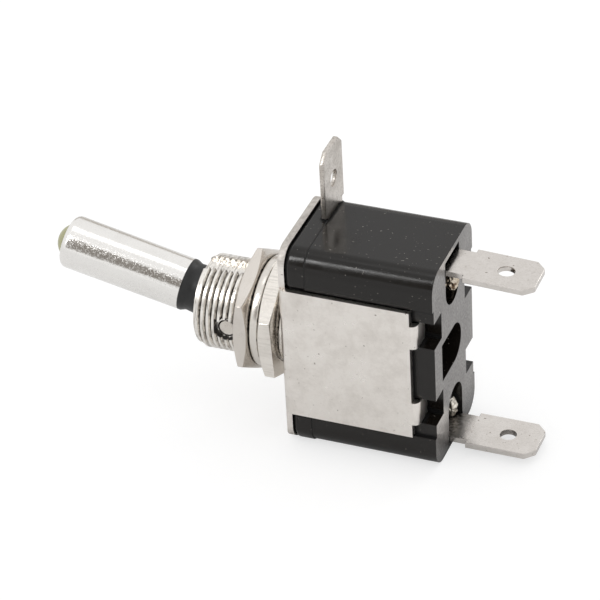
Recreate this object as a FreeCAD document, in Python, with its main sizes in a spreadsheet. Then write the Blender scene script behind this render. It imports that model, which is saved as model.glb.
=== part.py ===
import FreeCAD, Part
import math
import os
import re
import Sketcher
from FreeCAD import Placement, Rotation, Vector

# A panel toggle switch with a lamp in the tip of its lever, in millimetres.
# X runs along the bushing, from the lever's tip at minus X to the rear blades at plus X.
# Z is up, along the housing's long side. Y runs across its short side.
# The origin is the lever's pivot, on the bushing's axis. Each fixed piece is drawn from the
# front face of the plastic housing, and each piece of the lever from the pivot.

doc = FreeCAD.newDocument("panel_toggle_switch")

SIZES = {
    # Fits and shared values
    "running_gap": 0.05,
    "seat_gap": 0.02,
    "cut_margin": 2.0,

    # Steel frame: a plate with two long ears and four crimped tabs
    "sheet_metal": 0.9,
    "plate_inset": 0.57,
    "plate_half_height": 14.3,
    "plate_corner": 2.6,
    "ear_outer": 8.02,
    "ear_gap": 0.12,
    "ear_half_height": 9.25,
    "ear_bend": 1.1,
    "tab_centre": 5.7,
    "tab_width": 3.3,
    "tab_tip": 4.9,
    "tab_bend": 0.8,

    # Threaded bushing: the thread itself is too fine for the solid, so this is its outside
    "thread_radius": 5.95,
    "bushing_tip": 13.43,
    "lip_step": 0.41,
    "lip_length": 0.68,
    "bushing_bore": 4.6,
    "mouth_bevel": 0.35,
    "mouth_depth": 0.7,
    "seat_step": 0.55,
    "flange_radius": 6.3,
    "flange_thick": 0.6,
    "keyway_width": 2.4,
    "keyway_depth": 0.8,
    "window_radius": 1.5,

    # Hexagon nuts and the keyed washer between them
    "nut_across": 14.9,
    "nut_thick": 2.0,
    "nut_corner": 0.4,
    "nut_bevel": 0.43,
    "front_nut_rear": 5.5,
    "front_nut_turn": 25.3,
    "rear_nut_turn": 35.7,
    "washer_thick": 1.25,
    "washer_edge": 0.2,
    "tongue_width": 2.1,

    # Pivot pin of the lever
    "pivot_back": 9.0,
    "pin_radius": 1.2,
    "pin_sunk": 0.7,
    "pin_chamfer": 0.2,

    # Lever: plastic stem, metal sleeve and lamp, measured from the pivot along the lever
    "throw_angle": 12.3,
    "sleeve_start": 7.63,
    "sleeve_length": 16.4,
    "sleeve_rear_radius": 3.354,
    "sleeve_front_radius": 3.437,
    "sleeve_bore": 2.93,
    "sleeve_mouth": 2.3,
    "sleeve_lip": 0.8,
    "sleeve_round": 0.85,
    "collar_width": 0.3,
    "neck_radius": 3.05,
    "neck_inset": 0.98,
    "root_radius": 3.25,
    "ball_radius": 4.3,
    "ball_belt": 1.3,
    "tail_radius": 2.25,
    "tail_end": 14.5,
    "wire_bore": 1.72,
    "wire_bore_end": 3.5,
    "groove_width": 1.3,
    "groove_floor": 1.95,

    # Lamp in the lever's tip, with its two leads and its resistor
    "lamp_radius": 2.5,
    "lamp_length": 8.6,
    "lamp_flange_thick": 1.0,
    "lamp_proud": 1.3,
    "lead_size": 0.5,
    "lead_pitch": 2.54,
    "long_lead": 11.0,
    "short_lead": 4.5,
    "resistor_radius": 0.75,
    "resistor_waist": 0.62,
    "resistor_length": 3.4,
    "resistor_cap": 0.8,
    "resistor_offset": 0.82,
    "resistor_wire": 0.2,
    "resistor_stub": 1.6,

    # Plunger and its spring in the lever's tail
    "plunger_bore": 1.55,
    "plunger_bore_start": 8.5,
    "plunger_head": 12.0,
    "plunger_gap": 0.16,
    "spigot_radius": 0.85,
    "spigot_length": 1.4,
    "spring_wire": 0.3,
    "spring_radius": 1.22,
    "spring_turns": 4,

    # Plastic housing in two shells, split at the ground blade
    "seam": 2.55,
    "cover_inset": 0.5,
    "cover_half_height": 14.25,
    "cover_edge": 0.5,
    "base_rear": 18.86,
    "base_inset": 0.61,
    "base_half_height": 14.16,
    "housing_corner": 2.53,
    "cover_recess": 9.75,
    "base_recess": 9.45,
    "tail_opening": 5.1,
    "rail_inner": 4.2,
    "rail_half_height": 8.5,
    "rail_length": 1.6,
    "cavity_half_width": 5.2,
    "cavity_half_height": 12.4,
    "rear_wall": 3.56,
    "notch_depth": 2.83,
    "notch_floor": 4.3,
    "notch_half_height": 1.85,
    "slot_half_width": 2.55,
    "slot_outer": 13.45,
    "slot_centre": 8.9,
    "slot_depth": 2.2,
    "window_round": 2.65,
    "window_side": 4.35,

    # Flat blades of the three terminals
    "blade_thick": 0.8,
    "blade_width": 6.35,
    "blade_neck": 5.0,
    "shoulder_reach": 2.24,
    "blade_reach": 11.04,
    "blade_chamfer": 1.2,
    "blade_hole": 1.05,
    "blade_hole_inset": 4.2,
    "load_blade_height": 12.07,
    "load_blade_droop": 0.45,
    "power_blade_depth": 12.8,
    "bend_radius": 0.85,
    "load_leg_foot": 7.4,
    "fulcrum_place": 11.93,
    "ground_thick": 0.65,
    "ground_offset": 3.82,
    "ground_width": 6.2,
    "ground_top": 23.45,
    "ground_shoulder": 14.5,
    "ground_hole_height": 18.7,
    "ground_foot_top": 11.9,
    "ground_foot_bottom": 10.1,

    # Lumps of solder in the blades' slots, each a block with bevelled edges
    "upper_solder_height": 4.15,
    "upper_solder_width": 1.8,
    "upper_solder_depth": 2.45,
    "upper_solder_side": 1.0,
    "lower_solder_height": 2.8,
    "lower_solder_width": 1.5,
    "lower_solder_depth": 1.1,
    "lower_solder_side": 1.7,
    "lower_solder_inset": 0.6,
    "solder_bevel": 0.35,

    # Rocking contact, which the plunger tips about the power terminal's edge
    "rocker_tilt": 6.5,
    "rocker_thick": 0.6,
    "rocker_width": 3.6,
    "cradle_radius": 9.25,
    "cradle_reach": 5.0,
    "arm_offset": 0.3,
    "arm_bend": 7.5,
    "arm_top": 10.7,
    "contact_height": 9.35,
    "contact_radius": 1.4,
    "contact_thick": 0.7,
    "fixed_contact_thick": 0.33,
}

sheet = doc.addObject("Spreadsheet::Sheet", "sheet")
for row, (name, number) in enumerate(SIZES.items(), start=1):
    sheet.set(f"A{row}", name)
    sheet.set(f"B{row}", str(number))
    sheet.setAlias(f"B{row}", name)
doc.recompute()

NAME = re.compile(r"[a-z]+(?:_[a-z]+)*")
FULL_TURN = 360
HEX_SIDES = 6
ALONG_X = Vector(1, 0, 0)
ALONG_Y = Vector(0, 1, 0)
ALONG_Z = Vector(0, 0, 1)

# Places that several pieces share, each worked out from the sizes above
INNER = "(ear_outer - sheet_metal)"
EAR_FLOOR = "(ear_outer - sheet_metal - ear_gap)"
COVER_SIDE = "(ear_outer - cover_inset)"
BASE_SIDE = "(ear_outer - base_inset)"
LEDGE = "(base_rear - notch_depth)"
CAVITY_REAR = "(base_rear - rear_wall)"
SLOT_FLOOR = "(base_rear - slot_depth)"
BLADE_TIP = "(base_rear + blade_reach)"
PLATE_HOLE = "(thread_radius - seat_step)"
KEYWAY_FLOOR = "(thread_radius - keyway_depth)"
NUT_FACE = "(nut_across / 2 - nut_corner)"
PIN_END = "(thread_radius - pin_sunk)"
STEM_FRONT = "(-sleeve_start - sleeve_length - lamp_proud + lamp_length)"
PLUNGER_RADIUS = "(plunger_bore - running_gap)"


def bound(text):
    """An expression with each size's name turned into a reference to the sheet."""
    return NAME.sub(lambda found: "sheet." + found[0] if found[0] in SIZES else found[0], text)


def value(text):
    """What such an expression comes to now."""
    return float(sheet.evalExpression(bound(text)))


def place(piece, across="0", up="0", turned="0", axis=ALONG_X):
    """Put a piece at a distance behind the housing's front face, raised or turned if asked."""
    piece.Placement = Placement(Vector(0, 0, 0), Rotation(axis, 1))
    piece.setExpression("Placement.Base.x", bound(f"pivot_back + ({across})"))
    piece.setExpression("Placement.Base.z", bound(up))
    piece.setExpression("Placement.Rotation.Angle", bound(turned))


def place_on_lever(body):
    """Put a body that was drawn from the pivot along the lever at the lever's upper throw."""
    place(body, across="-pivot_back", turned="throw_angle", axis=ALONG_Y)


def new_body(name):
    body = doc.addObject("PartDesign::Body", name)
    body.Label = name
    place(body)
    return body


def origin_part(body, role):
    return next(part for part in body.Origin.OriginFeatures if part.Role == role)


def new_sketch(body, name, plane, offset):
    """An empty sketch on one of the body's own planes, moved out along the plane's normal."""
    sketch = body.newObject("Sketcher::SketchObject", name)
    sketch.AttachmentSupport = [(origin_part(body, plane), "")]
    sketch.MapMode = "FlatFace"
    sketch.setExpression("AttachmentOffset.Base.z", bound(offset))
    return sketch


def hold(sketch, kind, point, text):
    """Hold one coordinate of a point, or one radius, to an expression of the sheet."""
    if kind == "Radius":
        added = sketch.addConstraint(Sketcher.Constraint(kind, point, value(text)))
    else:
        added = sketch.addConstraint(Sketcher.Constraint(kind, -1, 1, *point, value(text)))
    sketch.setExpression(f"Constraints[{added}]", bound(text))


def arc_between(start, end, radius):
    """An arc from start to end. A positive radius turns left, a negative one turns right."""
    chord = end.sub(start)
    half = chord.Length / 2
    side = Vector(-chord.y, chord.x, 0).normalize()
    rise = math.sqrt(max(radius * radius - half * half, 0))
    centre = start.add(chord * 0.5).add(side * math.copysign(rise, radius))
    first, last = (start, end) if radius > 0 else (end, start)
    angles = [math.atan2(p.y - centre.y, p.x - centre.x) for p in (first, last)]
    circle = Part.Circle(centre, Vector(0, 0, 1), abs(radius))
    return Part.ArcOfCircle(circle, angles[0], angles[1])


def outline(body, name, plane, loops, offset="0"):
    """Closed loops of corners, each corner held by two expressions.

    A corner with a third expression starts an arc of that radius to the next corner.
    """
    sketch = new_sketch(body, name, plane, offset)
    for corners in loops:
        places = [Vector(value(c[0]), value(c[1]), 0) for c in corners]
        ends = []
        for k, corner in enumerate(corners):
            start, end = places[k], places[(k + 1) % len(places)]
            if len(corner) == 2:
                edge = sketch.addGeometry(Part.LineSegment(start, end), False)
                ends.append((edge, 1, 2))
            else:
                edge = sketch.addGeometry(arc_between(start, end, value(corner[2])), False)
                ends.append((edge, 1, 2) if value(corner[2]) > 0 else (edge, 2, 1))
        for k, (edge, first, last) in enumerate(ends):
            after = ends[(k + 1) % len(ends)]
            sketch.addConstraint(Sketcher.Constraint("Coincident", edge, last, after[0], after[1]))
            hold(sketch, "DistanceX", (edge, first), corners[k][0])
            hold(sketch, "DistanceY", (edge, first), corners[k][1])
            if len(corners[k]) > 2:
                hold(sketch, "Radius", edge, f"abs({corners[k][2]})")
    return sketch


def rectangle(left, right, low, high):
    """The four corners of a rectangle, for a loop of an outline."""
    return [(left, low), (right, low), (right, high), (left, high)]


def discs(body, name, plane, circles, offset="0"):
    """A sketch of whole circles, each given by its centre and radius."""
    sketch = new_sketch(body, name, plane, offset)
    for across, up, radius in circles:
        centre = Vector(value(across), value(up), 0)
        circle = Part.Circle(centre, Vector(0, 0, 1), value(radius))
        edge = sketch.addGeometry(circle, False)
        hold(sketch, "DistanceX", (edge, 3), across)
        hold(sketch, "DistanceY", (edge, 3), up)
        hold(sketch, "Radius", edge, radius)
    return sketch


def extrude(body, sketch, length, kind, backwards=False, symmetric=False):
    """Pad or pocket a sketch. A pocket that removes nothing stops the script."""
    doc.recompute()
    before = body.Shape.Volume if body.Tip else 0
    feature = body.newObject(f"PartDesign::{kind}", f"{sketch.Name}_{kind.lower()}")
    feature.Profile = sketch
    feature.Reversed = backwards
    feature.SideType = "Symmetric" if symmetric else "One side"
    feature.setExpression("Length", bound(length))
    doc.recompute()
    if kind == "Pocket" and body.Shape.Volume >= before:
        raise RuntimeError(f"{feature.Name} cuts nothing")
    return feature


def pad(body, sketch, length, backwards=False, symmetric=False):
    return extrude(body, sketch, length, "Pad", backwards, symmetric)


def pocket(body, sketch, length, backwards=False, symmetric=False):
    return extrude(body, sketch, length, "Pocket", backwards, symmetric)


def turn(body, sketch, kind="Revolution", axis="X_Axis"):
    """Turn a sketch once round one of the body's own axes, to add or to cut."""
    doc.recompute()
    before = body.Shape.Volume if body.Tip else 0
    feature = body.newObject(f"PartDesign::{kind}", f"{sketch.Name}_{kind.lower()}")
    feature.Profile = sketch
    feature.ReferenceAxis = (origin_part(body, axis), [""])
    feature.Angle = FULL_TURN
    doc.recompute()
    if kind == "Groove" and body.Shape.Volume >= before:
        raise RuntimeError(f"{feature.Name} cuts nothing")
    return feature


def mirror(body, feature, plane):
    """Repeat a feature on the other side of one of the body's own planes."""
    copy = body.newObject("PartDesign::Mirrored", f"{feature.Name}_mirrored")
    copy.Originals = [feature]
    copy.MirrorPlane = (origin_part(body, plane), [""])
    body.Tip = copy
    doc.recompute()
    return copy


def runs_along(edge, axis):
    """Whether an edge is straight and parallel to an axis."""
    if not isinstance(edge.Curve, Part.Line):
        return False
    return abs(edge.Curve.Direction.dot(axis)) > 0.999


def lies_at(edge, **places):
    """Whether the middle of an edge has the given x, y or z, whatever the sign."""
    middle = edge.CenterOfMass
    return all(abs(abs(getattr(middle, key)) - abs(place)) < 0.01 for key, place in places.items())


def soften(body, kind, length, chosen):
    """Fillet or chamfer the edges of the body's last shape that a test picks."""
    base = body.Tip
    edges = [f"Edge{k + 1}" for k, edge in enumerate(base.Shape.Edges) if chosen(edge)]
    if not edges:
        raise RuntimeError(f"{body.Label}: no edge to soften")
    feature = body.newObject(f"PartDesign::{kind}", f"{body.Label}_{kind.lower()}")
    feature.Base = (base, edges)
    feature.setExpression("Radius" if kind == "Fillet" else "Size", bound(length))
    doc.recompute()
    return feature


def make_mounting_frame():
    """Bent and nickel-plated steel: a plate under the bushing, two ears down the housing's
    sides, and two tabs on each ear that are crimped into the housing's notches."""
    body = new_body("mounting_frame")
    side = "(ear_outer - plate_inset)"
    sides = rectangle(f"-{side}", side, "-plate_half_height", "plate_half_height")
    pad(body, outline(body, "plate", "YZ_Plane", [sides]), "sheet_metal", backwards=True)
    soften(body, "Fillet", "plate_corner", lambda edge: runs_along(edge, ALONG_X))
    reach = f"({LEDGE} + seat_gap)"
    channel = [
        ("-sheet_metal", "-ear_outer"),
        (reach, "-ear_outer"),
        (reach, f"-{INNER}"),
        ("0", f"-{INNER}"),
        ("0", INNER),
        (reach, INNER),
        (reach, "ear_outer"),
        ("-sheet_metal", "ear_outer"),
    ]
    pad(body, outline(body, "channel", "XY_Plane", [channel]), "2 * ear_half_height", symmetric=True)
    outside = {"x": value("sheet_metal"), "y": value("ear_outer")}
    soften(body, "Fillet", "ear_bend", lambda edge: runs_along(edge, ALONG_Z) and lies_at(edge, **outside))
    inside = {"x": 0, "y": value(INNER)}
    soften(body, "Fillet", "ear_bend - sheet_metal",
           lambda edge: runs_along(edge, ALONG_Z) and lies_at(edge, **inside))
    tab_end = f"{reach} + sheet_metal"
    tabs = [
        [(reach, "-ear_outer"), (f"{tab_end} - tab_bend", "-ear_outer", "tab_bend"),
         (tab_end, "-(ear_outer - tab_bend)"), (tab_end, "-tab_tip"), (reach, "-tab_tip")],
        [(reach, "tab_tip"), (tab_end, "tab_tip"), (tab_end, "ear_outer - tab_bend", "tab_bend"),
         (f"{tab_end} - tab_bend", "ear_outer"), (reach, "ear_outer")],
    ]
    upper = pad(body, outline(body, "tabs", "XY_Plane", tabs, "tab_centre"), "tab_width", symmetric=True)
    mirror(body, upper, "XY_Plane")
    hole = discs(body, "plate_opening", "YZ_Plane", [("0", "0", PLATE_HOLE)])
    pocket(body, hole, "sheet_metal")


def make_threaded_bushing():
    """Turned and plated brass. A staked flange behind the plate holds it, a keyway runs along
    its top, and a window on each side shows the end of the pivot pin."""
    body = new_body("threaded_bushing")
    half = [
        ("-bushing_tip", "bushing_bore + mouth_bevel"),
        ("-bushing_tip", "thread_radius - lip_step"),
        ("-bushing_tip + lip_length", "thread_radius - lip_step"),
        ("-bushing_tip + lip_length", "thread_radius"),
        ("-sheet_metal", "thread_radius"),
        ("-sheet_metal", f"{PLATE_HOLE} - seat_gap"),
        ("0", f"{PLATE_HOLE} - seat_gap"),
        ("0", "flange_radius"),
        ("flange_thick", "flange_radius"),
        ("flange_thick", "bushing_bore"),
        ("-bushing_tip + mouth_depth", "bushing_bore"),
    ]
    turn(body, outline(body, "section", "XZ_Plane", [half]))
    key = rectangle("-keyway_width / 2", "keyway_width / 2", KEYWAY_FLOOR, "thread_radius + cut_margin")
    pocket(body, outline(body, "keyway", "YZ_Plane", [key], "-sheet_metal"), "bushing_tip")
    pin_hole = discs(body, "pin_hole", "XZ_Plane", [("-pivot_back", "0", "pin_radius + seat_gap")])
    pocket(body, pin_hole, "2 * (thread_radius + cut_margin)", symmetric=True)
    window = discs(body, "window", "XZ_Plane", [("-pivot_back", "0", "window_radius")], PIN_END)
    mirror(body, pocket(body, window, "thread_radius", backwards=True), "XZ_Plane")


def make_nut(name, rear_face, turned, both_bevelled):
    """A thin plated hexagon nut. The corners are bevelled on one side or on both."""
    body = new_body(name)
    corners = []
    for side in range(HEX_SIDES):
        angle = side * FULL_TURN / HEX_SIDES
        reach = "nut_across / 2 / cos(30)"
        corners.append((f"{reach} * cos({angle})", f"{reach} * sin({angle})"))
    pad(body, outline(body, "hexagon", "YZ_Plane", [corners]), "nut_thick")
    beyond = f"{NUT_FACE} + cut_margin"
    depth = "cut_margin * nut_bevel"
    front = [("0", NUT_FACE), ("0", beyond), (depth, beyond)]
    turn(body, outline(body, "front_bevel", "XZ_Plane", [front]), "Groove")
    if both_bevelled:
        rear = [("nut_thick", NUT_FACE), (f"nut_thick - {depth}", beyond), ("nut_thick", beyond)]
        turn(body, outline(body, "rear_bevel", "XZ_Plane", [rear]), "Groove")
    bore = discs(body, "bore", "YZ_Plane", [("0", "0", "thread_radius + running_gap")])
    pocket(body, bore, "nut_thick + cut_margin", backwards=True)
    place(body, across=f"-({rear_face}) - nut_thick", turned=turned)


def make_lock_washer():
    """A plated washer between the nuts, with a tongue in the bushing's keyway."""
    body = new_body("lock_washer")
    bore = "thread_radius + 2 * running_gap"
    ring = rectangle("0", "washer_thick", bore, NUT_FACE)
    turn(body, outline(body, "ring", "XZ_Plane", [ring]))
    soften(body, "Chamfer", "washer_edge", lambda edge: edge.BoundBox.ZMax > value(NUT_FACE) - 0.01)
    low = f"{KEYWAY_FLOOR} + 2 * running_gap"
    tongue = rectangle("-tongue_width / 2", "tongue_width / 2", low, f"{bore} + washer_edge")
    pad(body, outline(body, "tongue", "YZ_Plane", [tongue]), "washer_thick")
    place(body, across="-front_nut_rear")


def recess_loops(half_height):
    """Two rectangles outside the floor that the frame's ears lie over."""
    beyond = f"{COVER_SIDE} + cut_margin"
    return [
        rectangle(EAR_FLOOR, beyond, f"-{half_height}", half_height),
        rectangle(f"-({beyond})", f"-{EAR_FLOOR}", f"-{half_height}", half_height),
    ]


GROUND_LOW = "ground_offset - ground_width / 2"
GROUND_HIGH = "ground_offset + ground_width / 2"
GROUND_NECK_LOW = "ground_offset - blade_neck / 2"
GROUND_NECK_HIGH = "ground_offset + blade_neck / 2"


def make_housing_cover():
    """The moulded front shell. The bushing's flange sinks into it, the lever's tail passes
    through it, and a slot in its rear face traps the ground terminal."""
    body = new_body("housing_cover")
    sides = rectangle(f"-{COVER_SIDE}", COVER_SIDE, "-cover_half_height", "cover_half_height")
    pad(body, outline(body, "block", "YZ_Plane", [sides]), "seam")
    soften(body, "Fillet", "housing_corner", lambda edge: runs_along(edge, ALONG_X))
    soften(body, "Chamfer", "cover_edge", lambda edge: lies_at(edge, x=0))
    ears = outline(body, "ear_recess", "YZ_Plane", recess_loops("cover_recess"))
    pocket(body, ears, "seam", backwards=True)
    bevel = "2 * (ear_bend - sheet_metal)"
    corners = [
        [("0", f"{EAR_FLOOR} - {bevel}"), (bevel, EAR_FLOOR), ("0", EAR_FLOOR)],
        [("0", f"-{EAR_FLOOR} + {bevel}"), ("0", f"-{EAR_FLOOR}"), (bevel, f"-{EAR_FLOOR}")],
    ]
    pocket(body, outline(body, "bend_bevels", "XY_Plane", corners), "2 * cover_recess", symmetric=True)
    opening = discs(body, "opening", "YZ_Plane", [("0", "0", "tail_opening")])
    pocket(body, opening, "seam", backwards=True)
    flange = discs(body, "flange_seat", "YZ_Plane", [("0", "0", "flange_radius + running_gap")])
    pocket(body, flange, "flange_thick + seat_gap", backwards=True)
    slot = [
        (f"{GROUND_NECK_LOW} - running_gap", "cover_half_height + cut_margin"),
        (f"{GROUND_NECK_LOW} - running_gap", "ground_foot_top + running_gap"),
        (f"{GROUND_LOW} - running_gap", "ground_foot_top + running_gap"),
        (f"{GROUND_LOW} - running_gap", "ground_foot_bottom - running_gap"),
        (f"{GROUND_HIGH} + running_gap", "ground_foot_bottom - running_gap"),
        (f"{GROUND_HIGH} + running_gap", "ground_foot_top + running_gap"),
        (f"{GROUND_NECK_HIGH} + running_gap", "ground_foot_top + running_gap"),
        (f"{GROUND_NECK_HIGH} + running_gap", "cover_half_height + cut_margin"),
    ]
    pocket(body, outline(body, "ground_slot", "YZ_Plane", [slot], "seam"), "ground_thick + seat_gap")
    wall = "cavity_half_width - running_gap"
    rails = [
        rectangle("rail_inner", wall, "-rail_half_height", "rail_half_height"),
        rectangle(f"-({wall})", "-rail_inner", "-rail_half_height", "rail_half_height"),
    ]
    pad(body, outline(body, "rails", "YZ_Plane", rails, "seam"), "rail_length")


def make_housing_base():
    """The moulded rear shell, a deep cup. Its rear face has a slot for each blade, a window
    where a third terminal would go, and two notches on each side for the frame's tabs."""
    body = new_body("housing_base")
    sides = rectangle(f"-{BASE_SIDE}", BASE_SIDE, "-base_half_height", "base_half_height")
    pad(body, outline(body, "block", "YZ_Plane", [sides], "seam"), "base_rear - seam")
    soften(body, "Fillet", "housing_corner", lambda edge: runs_along(edge, ALONG_X))
    hollow = rectangle("-cavity_half_width", "cavity_half_width", "-cavity_half_height", "cavity_half_height")
    depth = f"{CAVITY_REAR} - seam"
    pocket(body, outline(body, "cavity", "YZ_Plane", [hollow], "seam"), depth, backwards=True)
    ears = outline(body, "ear_recess", "YZ_Plane", recess_loops("base_recess"), "seam")
    pocket(body, ears, "base_rear - seam", backwards=True)
    low, high = "tab_centre - notch_half_height", "tab_centre + notch_half_height"
    beyond = f"{BASE_SIDE} + cut_margin"
    notches = [
        rectangle("notch_floor", beyond, low, high),
        rectangle(f"-({beyond})", "-notch_floor", low, high),
    ]
    upper = outline(body, "notches", "YZ_Plane", notches, LEDGE)
    mirror(body, pocket(body, upper, "notch_depth", backwards=True), "XY_Plane")
    slot = [
        ("-slot_half_width", "slot_centre", "slot_half_width"),
        ("0", "slot_centre - slot_half_width", "slot_half_width"),
        ("slot_half_width", "slot_centre"),
        ("slot_half_width", "slot_outer"),
        ("-slot_half_width", "slot_outer"),
    ]
    upper = outline(body, "blade_slot", "YZ_Plane", [slot], SLOT_FLOOR)
    mirror(body, pocket(body, upper, "slot_depth", backwards=True), "XY_Plane")
    window = [
        ("-window_side", "-window_round"),
        ("0", "-window_round", "window_round"),
        ("window_round", "0", "window_round"),
        ("0", "window_round"),
        ("-window_side", "window_round"),
    ]
    opening = outline(body, "window", "YZ_Plane", [window], f"{CAVITY_REAR} - cut_margin")
    pocket(body, opening, "rear_wall + cut_margin", backwards=True)
    half_neck = "blade_neck / 2 + running_gap"
    half_thick = "blade_thick / 2 + running_gap"
    passages = [
        rectangle(f"-({half_neck})", half_neck, f"load_blade_height - ({half_thick})",
                  f"load_blade_height + {half_thick}"),
        rectangle(f"-({half_neck})", half_neck, f"-power_blade_depth - ({half_thick})",
                  f"-power_blade_depth + {half_thick}"),
    ]
    through = outline(body, "blade_passages", "YZ_Plane", passages, f"{CAVITY_REAR} - cut_margin")
    pocket(body, through, "rear_wall - slot_depth + 2 * cut_margin", backwards=True)


def trim_blade(body, low):
    """Cut a strip's neck, the corners of its tip and its hole, from below upwards."""
    half_width, half_neck = "blade_width / 2", "blade_neck / 2"
    beyond = f"{half_width} + cut_margin"
    shoulder = "base_rear + shoulder_reach"
    neck = [
        rectangle("0", shoulder, half_neck, beyond),
        rectangle("0", shoulder, f"-({beyond})", f"-{half_neck}"),
        [(f"{BLADE_TIP} - blade_chamfer", half_width), (BLADE_TIP, f"{half_width} - blade_chamfer"),
         (f"{BLADE_TIP} + cut_margin", half_width), (BLADE_TIP, beyond)],
        [(f"{BLADE_TIP} - blade_chamfer", f"-{half_width}"), (BLADE_TIP, f"-({beyond})"),
         (f"{BLADE_TIP} + cut_margin", f"-{half_width}"), (BLADE_TIP, f"-({half_width} - blade_chamfer)")],
    ]
    height = "2 * power_blade_depth"
    pocket(body, outline(body, "neck", "XY_Plane", neck, low), height, backwards=True)
    hole = discs(body, "hole", "XY_Plane", [(f"{BLADE_TIP} - blade_hole_inset", "0", "blade_hole")], low)
    pocket(body, hole, height, backwards=True)


def make_load_terminal():
    """A plated brass strip: the upper rear blade, bent down inside the housing."""
    body = new_body("load_terminal")
    top, bottom = "load_blade_height + blade_thick / 2", "load_blade_height - blade_thick / 2"
    leg = f"{CAVITY_REAR} - blade_thick"
    bent = [
        (leg, "load_leg_foot"),
        (CAVITY_REAR, "load_leg_foot"),
        (CAVITY_REAR, bottom),
        ("base_rear", bottom),
        (BLADE_TIP, f"{bottom} - load_blade_droop"),
        (BLADE_TIP, f"{top} - load_blade_droop"),
        ("base_rear", top),
        (f"{leg} + bend_radius", top, "bend_radius"),
        (leg, f"{top} - bend_radius"),
    ]
    pad(body, outline(body, "strip", "XZ_Plane", [bent]), "blade_width", symmetric=True)
    trim_blade(body, "0")


def make_power_terminal():
    """A plated brass strip: the lower rear blade, bent up inside the housing and bent again
    to the round edge that the rocking contact tips on."""
    body = new_body("power_terminal")
    top, bottom = "-power_blade_depth + blade_thick / 2", "-power_blade_depth - blade_thick / 2"
    leg = f"{CAVITY_REAR} - blade_thick"
    half = "blade_thick / 2"
    bent = [
        (f"{leg} + bend_radius", bottom),
        (BLADE_TIP, bottom),
        (BLADE_TIP, top),
        (CAVITY_REAR, top),
        (CAVITY_REAR, f"{half} - bend_radius", "bend_radius"),
        (f"{CAVITY_REAR} - bend_radius", half),
        (f"fulcrum_place + {half}", half, half),
        ("fulcrum_place", "0", half),
        (f"fulcrum_place + {half}", f"-{half}"),
        (leg, f"-{half}"),
        (leg, f"{bottom} + bend_radius", "bend_radius"),
    ]
    pad(body, outline(body, "strip", "XZ_Plane", [bent]), "blade_width", symmetric=True)
    trim_blade(body, "-2 * power_blade_depth")


def make_ground_terminal():
    """A thinner plated blade that stands out of the seam. Its wide foot is trapped there."""
    body = new_body("ground_terminal")
    flat = [
        (GROUND_LOW, "ground_foot_bottom"),
        (GROUND_HIGH, "ground_foot_bottom"),
        (GROUND_HIGH, "ground_foot_top"),
        (GROUND_NECK_HIGH, "ground_foot_top"),
        (GROUND_NECK_HIGH, "ground_shoulder"),
        (GROUND_HIGH, "ground_shoulder"),
        (GROUND_HIGH, "ground_top - blade_chamfer"),
        (f"{GROUND_HIGH} - blade_chamfer", "ground_top"),
        (f"{GROUND_LOW} + blade_chamfer", "ground_top"),
        (GROUND_LOW, "ground_top - blade_chamfer"),
        (GROUND_LOW, "ground_shoulder"),
        (GROUND_NECK_LOW, "ground_shoulder"),
        (GROUND_NECK_LOW, "ground_foot_top"),
        (GROUND_LOW, "ground_foot_top"),
    ]
    pad(body, outline(body, "blade", "YZ_Plane", [flat], "seam"), "ground_thick", backwards=True)
    hole = discs(body, "hole", "YZ_Plane", [("ground_offset", "ground_hole_height", "blade_hole")], "seam")
    pocket(body, hole, "ground_thick")


def make_solder_joint(name, sizes, front, low, high):
    """A lump of solder on a blade's inner face, in the slot of the rear wall."""
    body = new_body(name)
    left, right = f"{sizes}_side - {sizes}_width / 2", f"{sizes}_side + {sizes}_width / 2"
    pad(body, outline(body, "lump", "YZ_Plane", [rectangle(left, right, low, high)], front), f"{sizes}_depth")
    rear = value(f"{front} + {sizes}_depth")
    soften(body, "Chamfer", "solder_bevel", lambda edge: lies_at(edge, x=rear) or runs_along(edge, ALONG_X))


def make_fixed_contact():
    """A silver rivet head on the load terminal's leg."""
    body = new_body("fixed_contact")
    radius = "contact_radius + running_gap"
    face = f"{CAVITY_REAR} - blade_thick - fixed_contact_thick"
    head = discs(body, "head", "YZ_Plane", [("0", "contact_height", radius)], face)
    pad(body, head, "fixed_contact_thick")


def make_rocker_contact():
    """A copper strip bent to a cradle for the plunger, with an arm that carries the moving
    contact. It is drawn level, about the edge that it tips on, and placed tipped open."""
    body = new_body("rocker_contact")
    front, rear = "cradle_radius", "cradle_radius + rocker_thick"
    lean = "asin(cradle_reach / cradle_radius)"
    front_x = f"-rocker_thick - cradle_radius + {front} * cos({lean})"
    rear_x = f"-rocker_thick - cradle_radius + ({rear}) * cos({lean})"
    rear_z = f"({rear}) * sin({lean})"
    strip = [
        (front_x, "-cradle_reach"),
        (rear_x, f"-{rear_z}", rear),
        (rear_x, rear_z),
        ("arm_offset", "arm_bend"),
        ("arm_offset", "arm_top"),
        ("arm_offset - rocker_thick", "arm_top"),
        ("arm_offset - rocker_thick", "arm_bend + rocker_thick / 2"),
        (front_x, "cradle_reach", f"-({front})"),
    ]
    pad(body, outline(body, "strip", "XZ_Plane", [strip]), "rocker_width", symmetric=True)
    place(body, across="fulcrum_place - seat_gap", turned="-rocker_tilt", axis=ALONG_Y)


def make_moving_contact():
    """A silver rivet head on the rocking contact's arm."""
    body = new_body("moving_contact")
    head = discs(body, "head", "YZ_Plane", [("0", "contact_height", "contact_radius")], "arm_offset")
    pad(body, head, "contact_thick")
    place(body, across="fulcrum_place - seat_gap", turned="-rocker_tilt", axis=ALONG_Y)


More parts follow.
